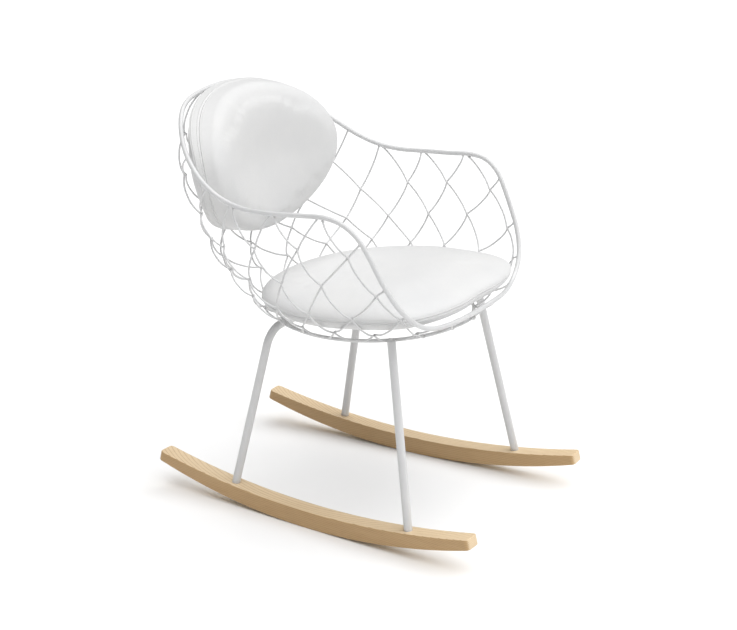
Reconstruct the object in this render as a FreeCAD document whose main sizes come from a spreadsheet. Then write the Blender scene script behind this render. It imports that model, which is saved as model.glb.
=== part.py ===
import FreeCAD, Part
import os
import math

# Wire-basket rocking armchair, in millimetres.
# Frame: +Z up, floor at z = 0, the chair faces -Y, X is across the chair and
# x = 0 is its plane of symmetry.  The rockers touch the floor at y = 0.

V = FreeCAD.Vector
os.makedirs("parts", exist_ok=True)
doc = FreeCAD.newDocument("rocking_chair")

# ------------------------------------------------------------------ dimensions
sheet = doc.addObject("Spreadsheet::Sheet", "dims")
DIMS = [
    ("wire_dia", 3.5), ("rim_dia", 9.0), ("ring_dia", 7.0), ("weld_gap", 0.05),
    ("ring_rad", 186.0), ("ring_y", -24.2), ("ring_height", 381.2), ("ring_tilt", 2.0),
    ("wire_bow", 10.5), ("kink_rad", 5.5),
    ("leg_dia", 16.0), ("leg_wall", 1.5), ("bend_rad", 36.0),
    ("rear_x", 200.1), ("rear_y", 178.8), ("rear_foot", 43.6), ("rear_lean_in", 0.1065), ("rear_lean_fwd", 0.2045),
    ("rear_bar_height", 364.9),
    ("front_x", 215.5), ("front_y", -222.1), ("front_foot", 49.2), ("front_lean_in", 0.1415), ("front_lean_back", 0.195),
    ("stub_height", 384.9), ("stub_dia", 10.0), ("front_top", 395.0),
    ("rocker_long", 725.4), ("rocker_wide", 36.7), ("rocker_track", 205.8), ("rocker_toe", 2.18),
    ("rocker_base_rad", 1252.4), ("rocker_top_rad", 1696.5), ("rocker_mid_thick", 34.9), ("rocker_end_rake", 5.0),
    ("rocker_end_round", 8.0), ("rocker_edge_round", 2.0),
    ("socket_dia", 16.8), ("socket_deep", 15.0), ("screw_dia", 6.0), ("screw_hole_dia", 6.6),
    ("head_dia", 11.0), ("head_thick", 4.0), ("head_bore_dia", 12.5), ("head_sunk", 2.5),
    ("plug_long", 22.0),
    ("seat_mid", 432.2), ("seat_tilt", 4.8), ("seat_rise", 35.5), ("seat_drop", 25.5),
    ("back_mid", 649.3), ("back_half_tall", 141.5), ("back_half_turn", 43.0), ("back_thick", 95.5), ("back_edge_thick", 50.3),
    ("cover_thick", 2.2),
]
for i, (name, value) in enumerate(DIMS):
    cell = "B%d" % (i + 1)
    sheet.set("A%d" % (i + 1), name)
    sheet.set(cell, repr(value))
    sheet.setAlias(cell, name)
doc.recompute()


def dim(name):
    return float(sheet.get(name))


# ------------------------------------------------------------------ shape data
# Half of the rim's centreline (x >= 0), from the middle of the back over the
# arm to the middle of the front.
RIM = [(0.0, 341.0, 782.5), (71.7, 339.5, 778.0), (140.5, 322.2, 764.2), (194.6, 286.8, 728.4),
       (234.1, 238.3, 686.7), (255.6, 176.6, 648.4), (266.3, 100.3, 629.1), (270.7, 22.3, 631.5),
       (266.0, -49.2, 637.1), (268.8, -102.1, 636.6), (264.5, -136.9, 616.8), (256.7, -165.1, 573.2),
       (245.0, -196.3, 510.9), (209.5, -220.3, 457.0), (152.6, -233.3, 427.5), (80.3, -248.4, 424.6),
       (0.0, -248.3, 422.5)]

# Crossings of the lattice, row by row from the top of the back down to the
# base ring.  The key names a crossing by its even share of the circle; the
# values are its real angle from the front (degrees), its radius about the
# basket's axis and its height.  An entry with a fourth value lies on the rim.
ROWS = {
    -3: {150: (150.0, 368.0, 735.5, 1), 170: (170.0, 369.3, 778.8, 1)},
    -2: {140: (140.0, 355.0, 693.8, 1), 160: (159.5, 374.0, 711.5), 180: (180.0, 366.5, 711.5)},
    -1: {130: (130.9, 333.5, 655.4, 1), 150: (149.0, 363.0, 648.5), 170: (169.5, 362.0, 643.5)},
    0: {80: (81.0, 274.0, 635.5, 1), 100: (101.9, 274.9, 628.2, 1), 120: (119.3, 309.4, 631.5, 1),
        140: (137.4, 334.4, 592.3), 160: (159.0, 341.0, 578.5), 180: (180.0, 341.0, 575.0)},
    1: {70: (69.1, 283.1, 573.8), 90: (90.3, 270.2, 574.1), 110: (109.0, 288.1, 560.6), 130: (128.0, 303.6, 540.2),
        150: (149.0, 317.0, 523.5), 170: (169.5, 315.0, 517.0)},
    2: {60: (59.0, 290.8, 506.2), 80: (79.9, 272.9, 514.7), 100: (98.6, 268.8, 503.1), 120: (116.8, 276.6, 490.0),
        140: (134.5, 283.0, 484.5), 160: (157.0, 301.0, 472.0), 180: (180.0, 295.0, 468.0)},
    3: {50: (50.0, 282.0, 458.5), 70: (69.0, 257.8, 451.4), 90: (88.4, 250.9, 448.3), 110: (105.6, 250.1, 443.8),
        130: (124.0, 255.5, 445.0), 150: (146.5, 245.5, 445.0), 170: (169.0, 243.0, 438.0)},
    4: {0: (0.0, 212.0, 403.5), 20: (20.0, 217.0, 405.0), 40: (40.0, 227.0, 409.0), 60: (60.0, 227.0, 410.0),
        80: (79.0, 222.5, 409.5), 100: (97.0, 221.0, 407.5), 120: (115.0, 220.5, 405.0), 140: (136.0, 220.0, 402.5),
        160: (158.0, 218.0, 400.0), 180: (180.0, 217.0, 399.0)},
}

# Plan direction of the basket's outward normal (degrees from the front) at
# each angle: the sides are nearly flat and the front corners are tight.
NORMALS = [(0, 0), (20, 4), (37, 13), (45, 20), (50, 42), (57, 67), (65, 77), (80, 90), (100, 91), (110, 93),
           (119, 98), (129, 101), (134, 112), (141, 124), (148, 139), (156, 155), (164, 170), (180, 180)]

AXIS_Y = dim("ring_y")


def smooth_curve(pts, closed=False):
    bs = Part.BSplineCurve()
    bs.interpolate([V(*p) for p in pts], PeriodicFlag=closed)
    return bs


def mirror_x(p):
    return V(-p.x, p.y, p.z)


# ------------------------------------------------------------------ path tools
def rounded_path(pts, cut):
    """A wire of straight runs joined by tangent arcs.  cut[i] is how far from
    vertex i its arc begins (0 at both ends)."""
    edges = []
    here = pts[0]
    for i in range(1, len(pts) - 1):
        a = (pts[i - 1] - pts[i]).normalize()
        b = (pts[i + 1] - pts[i]).normalize()
        turn = math.pi - a.getAngle(b)
        c = cut[i]
        if turn < 0.004:
            continue
        p = pts[i] + a * c
        q = pts[i] + b * c
        r = c / math.tan(turn / 2)
        bis = (a + b).normalize()
        centre = pts[i] + bis * (r / math.cos(turn / 2))
        mid = centre - bis * r
        if (p - here).Length > 1e-4:
            edges.append(Part.LineSegment(here, p).toShape())
        edges.append(Part.Arc(p, mid, q).toShape())
        here = q
    if (pts[-1] - here).Length > 1e-4:
        edges.append(Part.LineSegment(here, pts[-1]).toShape())
    return Part.Wire(edges)


def even_cuts(pts, share=0.47):
    cut = [0.0]
    for i in range(1, len(pts) - 1):
        cut.append(share * min((pts[i] - pts[i - 1]).Length, (pts[i + 1] - pts[i]).Length))
    return cut + [0.0]


def swept_rod(label, wire, dia_alias):
    """A round rod swept along a wire; its radius is bound to the sheet."""
    path = doc.addObject("Part::Feature", label + "_path")
    path.Shape = wire
    e = wire.OrderedEdges[0]
    p = e.valueAt(e.FirstParameter)
    t = e.tangentAt(e.FirstParameter)
    if (p - wire.OrderedVertexes[0].Point).Length > 1e-5:
        p = e.valueAt(e.LastParameter)
        t = e.tangentAt(e.LastParameter) * -1
    ring = doc.addObject("Part::Circle", label + "_section")
    ring.setExpression("Radius", "dims.%s / 2" % dia_alias)
    ring.Placement = FreeCAD.Placement(p, FreeCAD.Rotation(V(0, 0, 1), t))
    rod = doc.addObject("Part::Sweep", label)
    rod.Sections = [ring]
    rod.Spine = (path, ["Edge%d" % (k + 1) for k in range(len(wire.Edges))])
    rod.Solid = True
    rod.Frenet = False
    rod.Label = label
    return rod


nodes = []


def keep(obj, label):
    obj.Label = label
    nodes.append(obj)
    return obj


# ------------------------------------------------------------------ rim
rim_curve = smooth_curve([tuple(mirror_x(V(*p))) for p in (RIM[2], RIM[1])] + RIM
                         + [tuple(mirror_x(V(*p))) for p in (RIM[-2], RIM[-3])])
u0 = rim_curve.parameter(V(*RIM[0]))
u1 = rim_curve.parameter(V(*RIM[-1]))
half_len = rim_curve.length(u0, u1)
N_RIM = 30
raw = []
for i in range(-1, N_RIM + 2):
    s = half_len * i / N_RIM
    if i < 0:
        raw.append(mirror_x(rim_curve.value(rim_curve.parameterAtDistance(-s, u0))))
    elif i > N_RIM:
        raw.append(mirror_x(rim_curve.value(rim_curve.parameterAtDistance(2 * half_len - s, u0))))
    else:
        raw.append(rim_curve.value(rim_curve.parameterAtDistance(s, u0)))
rim_pts = []
for i in range(1, len(raw) - 1):
    rim_pts.append(raw[i] + (raw[i] - (raw[i - 1] + raw[i + 1]) * 0.5) * 0.25)
# vertices stand half a run either side of x = 0, so the tube crosses the
# plane of symmetry squarely
first = (rim_pts[0] + rim_pts[1]) * 0.5
last = (rim_pts[-1] + rim_pts[-2]) * 0.5
path_pts = [V(0, rim_pts[0].y, rim_pts[0].z)] + rim_pts[1:-1] + [V(0, rim_pts[-1].y, rim_pts[-1].z)]
path_pts[1] = V(path_pts[1].x, path_pts[1].y, path_pts[1].z)
# the first and last runs are square to x = 0
path_pts.insert(1, V(path_pts[1].x * 0.42, path_pts[0].y, path_pts[0].z))
path_pts.insert(-1, V(path_pts[-2].x * 0.42, path_pts[-1].y, path_pts[-1].z))
rim_half = swept_rod("rim_half", rounded_path(path_pts, even_cuts(path_pts)), "rim_dia")
rim_other = doc.addObject("Part::Mirroring", "rim_other_half")
rim_other.Source = rim_half
rim_other.Normal = V(1, 0, 0)
rim = doc.addObject("Part::Fuse", "rim_tube")
rim.Base = rim_half
rim.Tool = rim_other
rim.Refine = True
keep(rim, "rim_tube")

# ------------------------------------------------------------------ base ring
ring = doc.addObject("Part::Torus", "base_ring")
ring.setExpression("Radius1", "dims.ring_rad")
ring.setExpression("Radius2", "dims.ring_dia / 2")
ring.Placement = FreeCAD.Placement(V(0, dim("ring_y"), dim("ring_height")), FreeCAD.Rotation(V(1, 0, 0), -dim("ring_tilt")))
keep(ring, "base_ring")


def ring_point(theta):
    a = math.radians(theta)
    p = V(dim("ring_rad") * math.sin(a), -dim("ring_rad") * math.cos(a), 0)
    return ring.Placement.multVec(p)


# ------------------------------------------------------------------ lattice
def signed(theta):
    t = theta % 360
    return t - 360 if t > 180 else t


def node_at(row, theta):
    """Crossing point, or None where the rim leaves no room for one."""
    t = signed(theta)
    entry = ROWS[row].get(abs(t))
    if entry is None:
        return None
    a = math.radians(entry[0] if t >= 0 else -entry[0])
    return V(entry[1] * math.sin(a), AXIS_Y - entry[1] * math.cos(a), entry[2])


def on_rim(row, theta):
    e = ROWS[row].get(abs(signed(theta)))
    return e is not None and len(e) == 4


def foot_angle(theta4):
    """Where the wire passing row 4 at theta4 meets the base ring: half way to
    the next crossing of that row."""
    def real(t):
        t = signed(t)
        e = ROWS[4][abs(t)][0]
        return e if t >= 0 else -e
    a, b = real(theta4), real(theta4 + 20)
    while b < a:
        b += 360
    return (a + b) / 2


def rim_near(p):
    """Closest point of the rim's centreline."""
    q = V(abs(p.x), p.y, p.z)
    u = rim_curve.parameter(q)
    c = rim_curve.value(u)
    return V(c.x if p.x >= 0 else -c.x, c.y, c.z), u


def rim_at_angle(theta, height=None):
    """Rim centreline at an angle from the front."""
    best = None
    t = abs(signed(theta))
    for i in range(801):
        u = u0 + (u1 - u0) * i / 800.0
        c = rim_curve.value(u)
        a = math.degrees(math.atan2(c.x, -(c.y - AXIS_Y)))
        k = abs(a - t) + (0 if height is None else abs(c.z - height) * 0.05)
        if best is None or k < best[0]:
            best = (k, c)
    c = best[1]
    return V(c.x if signed(theta) >= 0 else -c.x, c.y, c.z)


def between(table, x):
    for (xa, ya), (xb, yb) in zip(table, table[1:]):
        if x <= xb:
            return ya + (yb - ya) * (x - xa) / (xb - xa)
    return table[-1][1]


def surface_normal(p):
    """Outward normal of the basket near p, from a smooth profile."""
    phi = math.degrees(math.atan2(abs(p.x), -(p.y - AXIS_Y)))
    upper = min(1.0, max(0.0, (p.z - 420.0) / 120.0))
    psi = math.radians(phi + upper * (between(NORMALS, phi) - phi))
    rad = V(math.copysign(math.sin(psi), p.x), -math.cos(psi), 0)
    # slope of the side wall: nearly upright at the arms, flat near the ring
    z = p.z
    slope = [(380, 1.3), (410, 0.95), (445, 0.75), (500, 0.35), (560, 0.28), (640, 0.12), (720, 0.05), (790, 0.0)]
    dz = slope[-1][1]
    for (za, sa), (zb, sb) in zip(slope, slope[1:]):
        if z <= za:
            dz = sa
            break
        if za < z <= zb:
            dz = sa + (sb - sa) * (z - za) / (zb - za)
            break
    n = rad - V(0, 0, dz)
    return n.normalize()


# Start of each rising wire whose upper end is cut by the rim, as the angle at
# which the rim takes it: last row inside the basket -> angle on the rim.
RIM_CUTS = {(4, 0): -5.0, (4, 20): 15.0, (4, 40): 35.0, (3, 50): 47.6, (2, 60): 56.2, (1, 70): 64.7, (4, -20): -25.0}

half_wire = dim("wire_dia") / 2
rim_r = dim("rim_dia") / 2
ring_r = dim("ring_dia") / 2
gap = dim("weld_gap")


def lattice_nodes(theta4):
    """Centreline points of the wire that turns with growing angle on its way
    down and passes row 4 at theta4, listed from the rim to the base ring."""
    pts = [("node", 4, theta4)]
    row, th = 4, theta4
    while True:
        key = (row, signed(th))
        if key in RIM_CUTS:
            pts.append(("cut", RIM_CUTS[key], node_at(row, th).z))
            break
        row, th = row - 1, th - 10
        pts.append(("node", row, th))
        if on_rim(row, th):
            break
    pts.reverse()
    pts.append(("ring", foot_angle(theta4), None))
    return pts


def wire_points(theta4, layer):
    """Crossing points shifted to this wire's layer (+1 outside, -1 inside),
    and its two ends on the rim and the ring."""
    out = []
    for kind, a, b in lattice_nodes(theta4):
        if kind == "node":
            p = node_at(a, b)
            if on_rim(a, b):
                c, u = rim_near(p)
                out.append(("rim", c))
            else:
                n = surface_normal(p)
                out.append(("node", p + n * (layer * (half_wire + gap / 2))))
        elif kind == "cut":
            c = rim_at_angle(a, b if abs(a) > 40 else None)
            out.append(("rim", c))
        else:
            out.append(("ring", ring_point(a)))
    return out


def end_on_rod(centre, towards, rod_r, along, shift):
    """Point where a wire coming from `towards` stops on a rod's surface,
    shifted along the rod so that two wires stand side by side."""
    base = centre + along * shift
    d = towards - base
    d = d - along * d.dot(along)
    d.normalize()
    return base + d * (rod_r + gap)


def rim_tangent(c):
    q = V(abs(c.x), c.y, c.z)
    u = rim_curve.parameter(q)
    t = rim_curve.tangent(u)[0]
    if c.x < 0:
        t = V(-t.x, t.y, t.z)
    return t.normalize()


def lattice_wire(theta4, layer):
    """Centreline points of one wire, with its two ends on the rods."""
    pts = [p for k, p in wire_points(theta4, layer)]
    # two wires meet at each weld on the rim and stand a little apart
    apart = 5.5 if lattice_nodes(theta4)[0][0] == "node" else 3.2
    t = rim_tangent(pts[0])
    side = (pts[1] - pts[0]).dot(t)
    pts[0] = end_on_rod(pts[0], pts[1], rim_r, t, apart if side > 0 else -apart)
    a = math.radians(foot_angle(theta4))
    tr = V(math.cos(a), math.sin(a), 0)
    pts[-1] = end_on_rod(pts[-1], pts[-2], ring_r, tr, -2.6)
    return pts


def bowed_wire(pts, bow_scale=1.0):
    """Runs and arcs through the crossings; each span bows outwards."""
    verts = [pts[0]]
    cuts = [0.0]
    bow = dim("wire_bow")
    kink = dim("kink_rad")
    spans = []
    for p, q in zip(pts, pts[1:]):
        L = (q - p).Length
        s = bow * min(1.0, (L / 78.0) ** 2) * bow_scale
        m = (p + q) * 0.5
        n = surface_normal(m)
        d = (q - p) * (1.0 / L)
        n = (n - d * n.dot(d)).normalize()
        # tangent polygon of the bowed arc: two vertices at its quarter points
        w = L / 2.0
        if s < 0.4:
            spans.append((p, q, None, None, 0))
            continue
        rad = (w * w + s * s) / (2 * s)
        ang = math.asin(min(1.0, w / rad))
        tl = rad * math.tan(ang / 2)
        v1 = p + d * (tl * math.cos(ang)) + n * (tl * math.sin(ang))
        v2 = q - d * (tl * math.cos(ang)) + n * (tl * math.sin(ang))
        spans.append((p, q, v1, v2, tl))
    for i, (p, q, v1, v2, tl) in enumerate(spans):
        if v1 is not None:
            room = 4.2 if tl > 12 else tl * 0.35
            verts += [v1, v2]
            cuts += [tl - room, tl - room]
        if i < len(spans) - 1:
            verts.append(q)
            nxt = spans[i + 1]
            prev = v2 if v2 is not None else p
            foll = nxt[2] if nxt[2] is not None else nxt[1]
            a = (prev - q).normalize()
            b = (foll - q).normalize()
            turn = math.pi - a.getAngle(b)
            c = kink * math.tan(turn / 2)
            lim = 4.0
            for tt in (tl, nxt[4]):
                if 0 < tt <= 12:
                    lim = min(lim, tt * 0.33)
            cuts.append(min(c, lim))
        else:
            verts.append(q)
            cuts.append(0.0)
    return rounded_path(verts, cuts)


for j in range(18):
    name = "lattice_wire_a%02d" % (j + 1)
    keep(swept_rod(name, bowed_wire(lattice_wire(20 * j, 1)), "wire_dia"), name)
# the wires of the other hand lie inside: mirrored and set in by one diameter
for j in range(18):
    name = "lattice_wire_b%02d" % (j + 1)
    pts = [mirror_x(p) for p in lattice_wire(20 * j, -1)]
    keep(swept_rod(name, bowed_wire(pts), "wire_dia"), name)


# ------------------------------------------------------------------ leg frames
def axis_point(x0, y0, z0, lean_in, lean_y, z, side):
    return V(side * (x0 - lean_in * (z - z0)), y0 + lean_y * (z - z0), z)


def rear_axis(z, side):
    return axis_point(dim("rear_x"), dim("rear_y"), dim("rear_foot"), dim("rear_lean_in"), -dim("rear_lean_fwd"), z, side)


def front_axis(z, side):
    return axis_point(dim("front_x"), dim("front_y"), dim("front_foot"), dim("front_lean_in"), dim("front_lean_back"), z, side)


# the foot of a leg stands in its socket, a little short of the bottom
rear_up = (rear_axis(300, 1) - rear_axis(100, 1)).normalize()
front_up = (front_axis(300, 1) - front_axis(100, 1)).normalize()


def foot(axis, z, up, side):
    u = V(up.x * side, up.y, up.z)
    return axis(z, side) - u * (dim("socket_deep") - 1.0)


REAR_TOP = dim("rear_bar_height")
rear_path = [foot(rear_axis, dim("rear_foot"), rear_up, -1), rear_axis(REAR_TOP, -1), rear_axis(REAR_TOP, 1),
             foot(rear_axis, dim("rear_foot"), rear_up, 1)]
a = (rear_path[0] - rear_path[1]).normalize()
b = (rear_path[2] - rear_path[1]).normalize()
turn = math.pi - a.getAngle(b)
c = dim("bend_rad") * math.tan(turn / 2)
rear_wire = rounded_path(rear_path, [0, c, c, 0])
rear_outer = swept_rod("rear_tube_outside", rear_wire, "leg_dia")
sheet.set("B60", "=leg_dia - 2 * leg_wall")
sheet.setAlias("B60", "leg_bore_dia")
doc.recompute()
rear_inner = swept_rod("rear_tube_bore", rear_wire, "leg_bore_dia")
rear = doc.addObject("Part::Cut", "rear_leg_frame")
rear.Base = rear_outer
rear.Tool = rear_inner
keep(rear, "rear_leg_frame")


def axis_placement(p, direction):
    return FreeCAD.Placement(p, FreeCAD.Rotation(V(0, 0, 1), direction))


front_length = (front_axis(dim("front_top"), 1) - foot(front_axis, dim("front_foot"), front_up, 1)).Length
sheet.set("B61", repr(front_length))
sheet.setAlias("B61", "front_leg_long")
doc.recompute()
front_tubes = {}
for side, word in ((-1, "right"), (1, "left")):
    d = V(front_up.x * side, front_up.y, front_up.z)
    p = foot(front_axis, dim("front_foot"), front_up, side)
    outer = doc.addObject("Part::Cylinder", "front_leg_%s_outside" % word)
    outer.setExpression("Radius", "dims.leg_dia / 2")
    outer.setExpression("Height", "dims.front_leg_long")
    outer.Placement = axis_placement(p, d)
    bore = doc.addObject("Part::Cylinder", "front_leg_%s_bore" % word)
    bore.setExpression("Radius", "dims.leg_dia / 2 - dims.leg_wall")
    bore.setExpression("Height", "dims.front_leg_long - 2 * dims.leg_wall")
    bore.Placement = axis_placement(p - d * 0.001, d)
    leg = doc.addObject("Part::Cut", "front_leg_%s_tube" % word)
    leg.Base = outer
    leg.Tool = bore
    front_tubes[side] = outer
    doc.recompute()
    edge = None
    for k, e in enumerate(leg.Shape.Edges):
        if e.Curve.TypeId == "Part::GeomCircle" and abs(e.Curve.Radius - dim("leg_dia") / 2) < 1e-6 and (e.Curve.Center - p).dot(d) > 100:
            edge = k + 1
    top = doc.addObject("Part::Fillet", "front_leg_%s" % word)
    top.Base = leg
    top.Edges = [(edge, 3.0, 3.0)]
    keep(top, "front_leg_%s" % word)

# a short stub joins each front leg to the base ring, coped to both
STUB_Z = dim("stub_height")
front_stub = {}
for side, word in ((-1, "right"), (1, "left")):
    p = front_axis(STUB_Z, side)
    towards_axis = V(-p.x, AXIS_Y - p.y, 0)
    reach = towards_axis.Length - dim("ring_rad")
    towards_axis.normalize()
    rod = doc.addObject("Part::Cylinder", "front_stub_%s_rod" % word)
    rod.setExpression("Radius", "dims.stub_dia / 2")
    rod.Height = reach
    rod.Placement = axis_placement(p, towards_axis)
    d = V(front_up.x * side, front_up.y, front_up.z)
    leg_cope = doc.addObject("Part::Cylinder", "front_stub_%s_leg_cope" % word)
    leg_cope.setExpression("Radius", "dims.leg_dia / 2 + dims.weld_gap")
    leg_cope.Height = 60
    leg_cope.Placement = axis_placement(p - d * 30, d)
    ring_cope = doc.addObject("Part::Torus", "front_stub_%s_ring_cope" % word)
    ring_cope.setExpression("Radius1", "dims.ring_rad")
    ring_cope.setExpression("Radius2", "dims.ring_dia / 2 + dims.weld_gap")
    ring_cope.Placement = ring.Placement
    first_cut = doc.addObject("Part::Cut", "front_stub_%s_at_leg" % word)
    first_cut.Base = rod
    first_cut.Tool = leg_cope
    stub = doc.addObject("Part::Cut", "front_stub_%s" % word)
    stub.Base = first_cut
    stub.Tool = ring_cope
    keep(stub, "front_stub_%s" % word)

# ------------------------------------------------------------------ rockers
def origin_plane(body, role):
    for f in body.Origin.OriginFeatures:
        if f.Role == role:
            return f


Rb, Rt, H0 = dim("rocker_base_rad"), dim("rocker_top_rad"), dim("rocker_mid_thick")
half = dim("rocker_long") / 2
rake = dim("rocker_end_rake")
body = doc.addObject("PartDesign::Body", "rocker_blank")
sk = body.newObject("Sketcher::SketchObject", "rocker_profile")
sk.AttachmentSupport = [(origin_plane(body, "YZ_Plane"), "")]
sk.MapMode = "FlatFace"


def arc_low(radius, cy, x0, x1):
    """Lower arc of a circle centred on the vertical axis, from x0 to x1."""
    a0 = math.atan2(-math.sqrt(radius ** 2 - x0 ** 2), x0)
    a1 = math.atan2(-math.sqrt(radius ** 2 - x1 ** 2), x1)
    circle = Part.Circle(V(0, cy, 0), V(0, 0, 1), radius)
    return Part.ArcOfCircle(circle, a0, a1)


def low_y(radius, cy, x):
    return cy - math.sqrt(radius ** 2 - x ** 2)


g_base = sk.addGeometry(arc_low(Rb, Rb, -half, half), False)
g_top = sk.addGeometry(arc_low(Rt, Rt + H0, -(half - rake), half - rake), False)
g_back = sk.addGeometry(Part.LineSegment(V(half, low_y(Rb, Rb, half), 0), V(half - rake, low_y(Rt, Rt + H0, half - rake), 0)), False)
g_front = sk.addGeometry(Part.LineSegment(V(-half, low_y(Rb, Rb, -half), 0), V(-(half - rake), low_y(Rt, Rt + H0, -(half - rake)), 0)), False)
import Sketcher
C = Sketcher.Constraint
sk.addConstraint(C("PointOnObject", g_base, 3, -2))
sk.addConstraint(C("PointOnObject", g_top, 3, -2))
sk.addConstraint(C("Coincident", g_base, 2, g_back, 1))
sk.addConstraint(C("Coincident", g_top, 2, g_back, 2))
sk.addConstraint(C("Coincident", g_base, 1, g_front, 1))
sk.addConstraint(C("Coincident", g_top, 1, g_front, 2))
names = {}
names["base_rad"] = sk.addConstraint(C("Radius", g_base, Rb))
names["top_rad"] = sk.addConstraint(C("Radius", g_top, Rt))
names["base_centre"] = sk.addConstraint(C("DistanceY", -1, 1, g_base, 3, Rb))
names["top_centre"] = sk.addConstraint(C("DistanceY", -1, 1, g_top, 3, Rt + H0))
names["tail"] = sk.addConstraint(C("DistanceX", -1, 1, g_back, 1, half))
names["tail_top"] = sk.addConstraint(C("DistanceX", -1, 1, g_back, 2, half - rake))
names["nose"] = sk.addConstraint(C("DistanceX", g_front, 1, -1, 1, half))
names["nose_top"] = sk.addConstraint(C("DistanceX", g_front, 2, -1, 1, half - rake))
for n, idx in names.items():
    sk.renameConstraint(idx, n)
sk.setExpression("Constraints.base_rad", "dims.rocker_base_rad")
sk.setExpression("Constraints.top_rad", "dims.rocker_top_rad")
sk.setExpression("Constraints.base_centre", "dims.rocker_base_rad")
sk.setExpression("Constraints.top_centre", "dims.rocker_top_rad + dims.rocker_mid_thick")
for n in ("tail", "nose"):
    sk.setExpression("Constraints.%s" % n, "dims.rocker_long / 2")
    sk.setExpression("Constraints.%s_top" % n, "dims.rocker_long / 2 - dims.rocker_end_rake")
pad = body.newObject("PartDesign::Pad", "rocker_pad")
pad.Profile = sk
pad.setExpression("Length", "dims.rocker_wide")
try:
    pad.SideType = "Symmetric"
except Exception:
    pad.Midplane = True
doc.recompute()
ends, longs = [], []
for k, e in enumerate(pad.Shape.Edges):
    bb = e.BoundBox
    if bb.XLength < 1e-3 and bb.YLength < rake + 2 and bb.ZLength < 40 and abs(abs(bb.Center.y) - half) < rake + 2:
        ends.append("Edge%d" % (k + 1))
f1 = body.newObject("PartDesign::Fillet", "rocker_ends")
f1.Base = (pad, ends)
f1.setExpression("Radius", "dims.rocker_end_round")
doc.recompute()
for k, e in enumerate(f1.Shape.Edges):
    bb = e.BoundBox
    if bb.YLength > 300:
        longs.append("Edge%d" % (k + 1))
f2 = body.newObject("PartDesign::Fillet", "rocker_edges")
f2.Base = (f1, longs)
f2.setExpression("Radius", "dims.rocker_edge_round")
body.Tip = f2
doc.recompute()
body.Placement = FreeCAD.Placement(V(dim("rocker_track"), 0, 0), FreeCAD.Rotation(V(0, 0, 1), dim("rocker_toe")))

# sockets, screw holes and counterbores follow the leg axes
tools = []
screws = []
plugs = []


def base_hit(p, d):
    """Point below p along -d where the axis leaves the rocker's underside."""
    q = V(p.x, p.y, p.z)
    for k in range(60):
        zb = Rb - math.sqrt(Rb ** 2 - q.y ** 2)
        q = q - d * ((q.z - zb) / d.z)
    return q


for word, axis, z0, up in (("rear", rear_axis, dim("rear_foot"), rear_up), ("front", front_axis, dim("front_foot"), front_up)):
    p = axis(z0, 1)
    bottom = p - up * dim("socket_deep")
    under = base_hit(p, up)
    t = doc.addObject("Part::Cylinder", "socket_%s" % word)
    t.setExpression("Radius", "dims.socket_dia / 2")
    t.Height = 60
    t.Placement = axis_placement(bottom, up)
    h1 = doc.addObject("Part::Cylinder", "screw_hole_%s" % word)
    h1.setExpression("Radius", "dims.screw_hole_dia / 2")
    h1.Height = (bottom - under).Length + 40
    h1.Placement = axis_placement(under - up * 20, up)
    h2 = doc.addObject("Part::Cylinder", "head_bore_%s" % word)
    h2.setExpression("Radius", "dims.head_bore_dia / 2")
    h2.Height = 20 + dim("head_sunk") + dim("head_thick")
    h2.Placement = axis_placement(under - up * 20, up)
    tools += [t, h1, h2]
    # threaded plug welded into the foot of the tube
    foot_p = bottom + up * 1.0
    pl = doc.addObject("Part::Cylinder", "plug_body_%s" % word)
    pl.setExpression("Radius", "dims.leg_dia / 2 - dims.leg_wall - dims.weld_gap")
    pl.setExpression("Height", "dims.plug_long")
    pl.Placement = axis_placement(foot_p + up * 0.5, up)
    pb = doc.addObject("Part::Cylinder", "plug_thread_%s" % word)
    pb.setExpression("Radius", "dims.screw_dia / 2 + dims.weld_gap")
    pb.Height = 100
    pb.Placement = axis_placement(foot_p - up * 20, up)
    pc = doc.addObject("Part::Cut", "plug_%s" % word)
    pc.Base = pl
    pc.Tool = pb
    plugs.append(pc)
    # pan-head screw from below, its head sunk in the rocker
    seat_p = under + up * (dim("head_sunk") + dim("head_thick"))
    hd = doc.addObject("Part::Cylinder", "screw_head_%s" % word)
    hd.setExpression("Radius", "dims.head_dia / 2")
    hd.setExpression("Height", "dims.head_thick - dims.weld_gap")
    hd.Placement = axis_placement(under + up * dim("head_sunk"), up)
    hx = doc.addObject("Part::Prism", "screw_hex_%s" % word)
    hx.Polygon = 6
    hx.Circumradius = 2.3
    hx.Height = 2.5
    hx.Placement = axis_placement(under + up * (dim("head_sunk") - 0.3), up)
    sh = doc.addObject("Part::Cylinder", "screw_shank_%s" % word)
    sh.setExpression("Radius", "dims.screw_dia / 2")
    sh.Height = (bottom - seat_p).Length + 16
    sh.Placement = axis_placement(seat_p - up * 1.0, up)
    sf = doc.addObject("Part::Fuse", "screw_body_%s" % word)
    sf.Base = hd
    sf.Tool = sh
    sc = doc.addObject("Part::Cut", "screw_%s" % word)
    sc.Base = sf
    sc.Tool = hx
    screws.append(sc)
drill = doc.addObject("Part::MultiFuse", "rocker_drillings")
drill.Shapes = tools
rocker = doc.addObject("Part::Cut", "rocker_left")
rocker.Base = body
rocker.Tool = drill
keep(rocker, "rocker_left")
other = doc.addObject("Part::Mirroring", "rocker_right")
other.Source = rocker
other.Normal = V(1, 0, 0)
keep(other, "rocker_right")


def mirrored_group(label, members):
    group = doc.addObject("Part::Compound", label + "_left_side")
    group.Links = members
    m = doc.addObject("Part::Mirroring", label + "_right_side")
    m.Source = group
    m.Normal = V(1, 0, 0)
    both = doc.addObject("Part::Compound", label)
    both.Links = [group, m]
    keep(both, label)


mirrored_group("rocker_screws", screws)
mirrored_group("leg_plugs", plugs)

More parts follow.
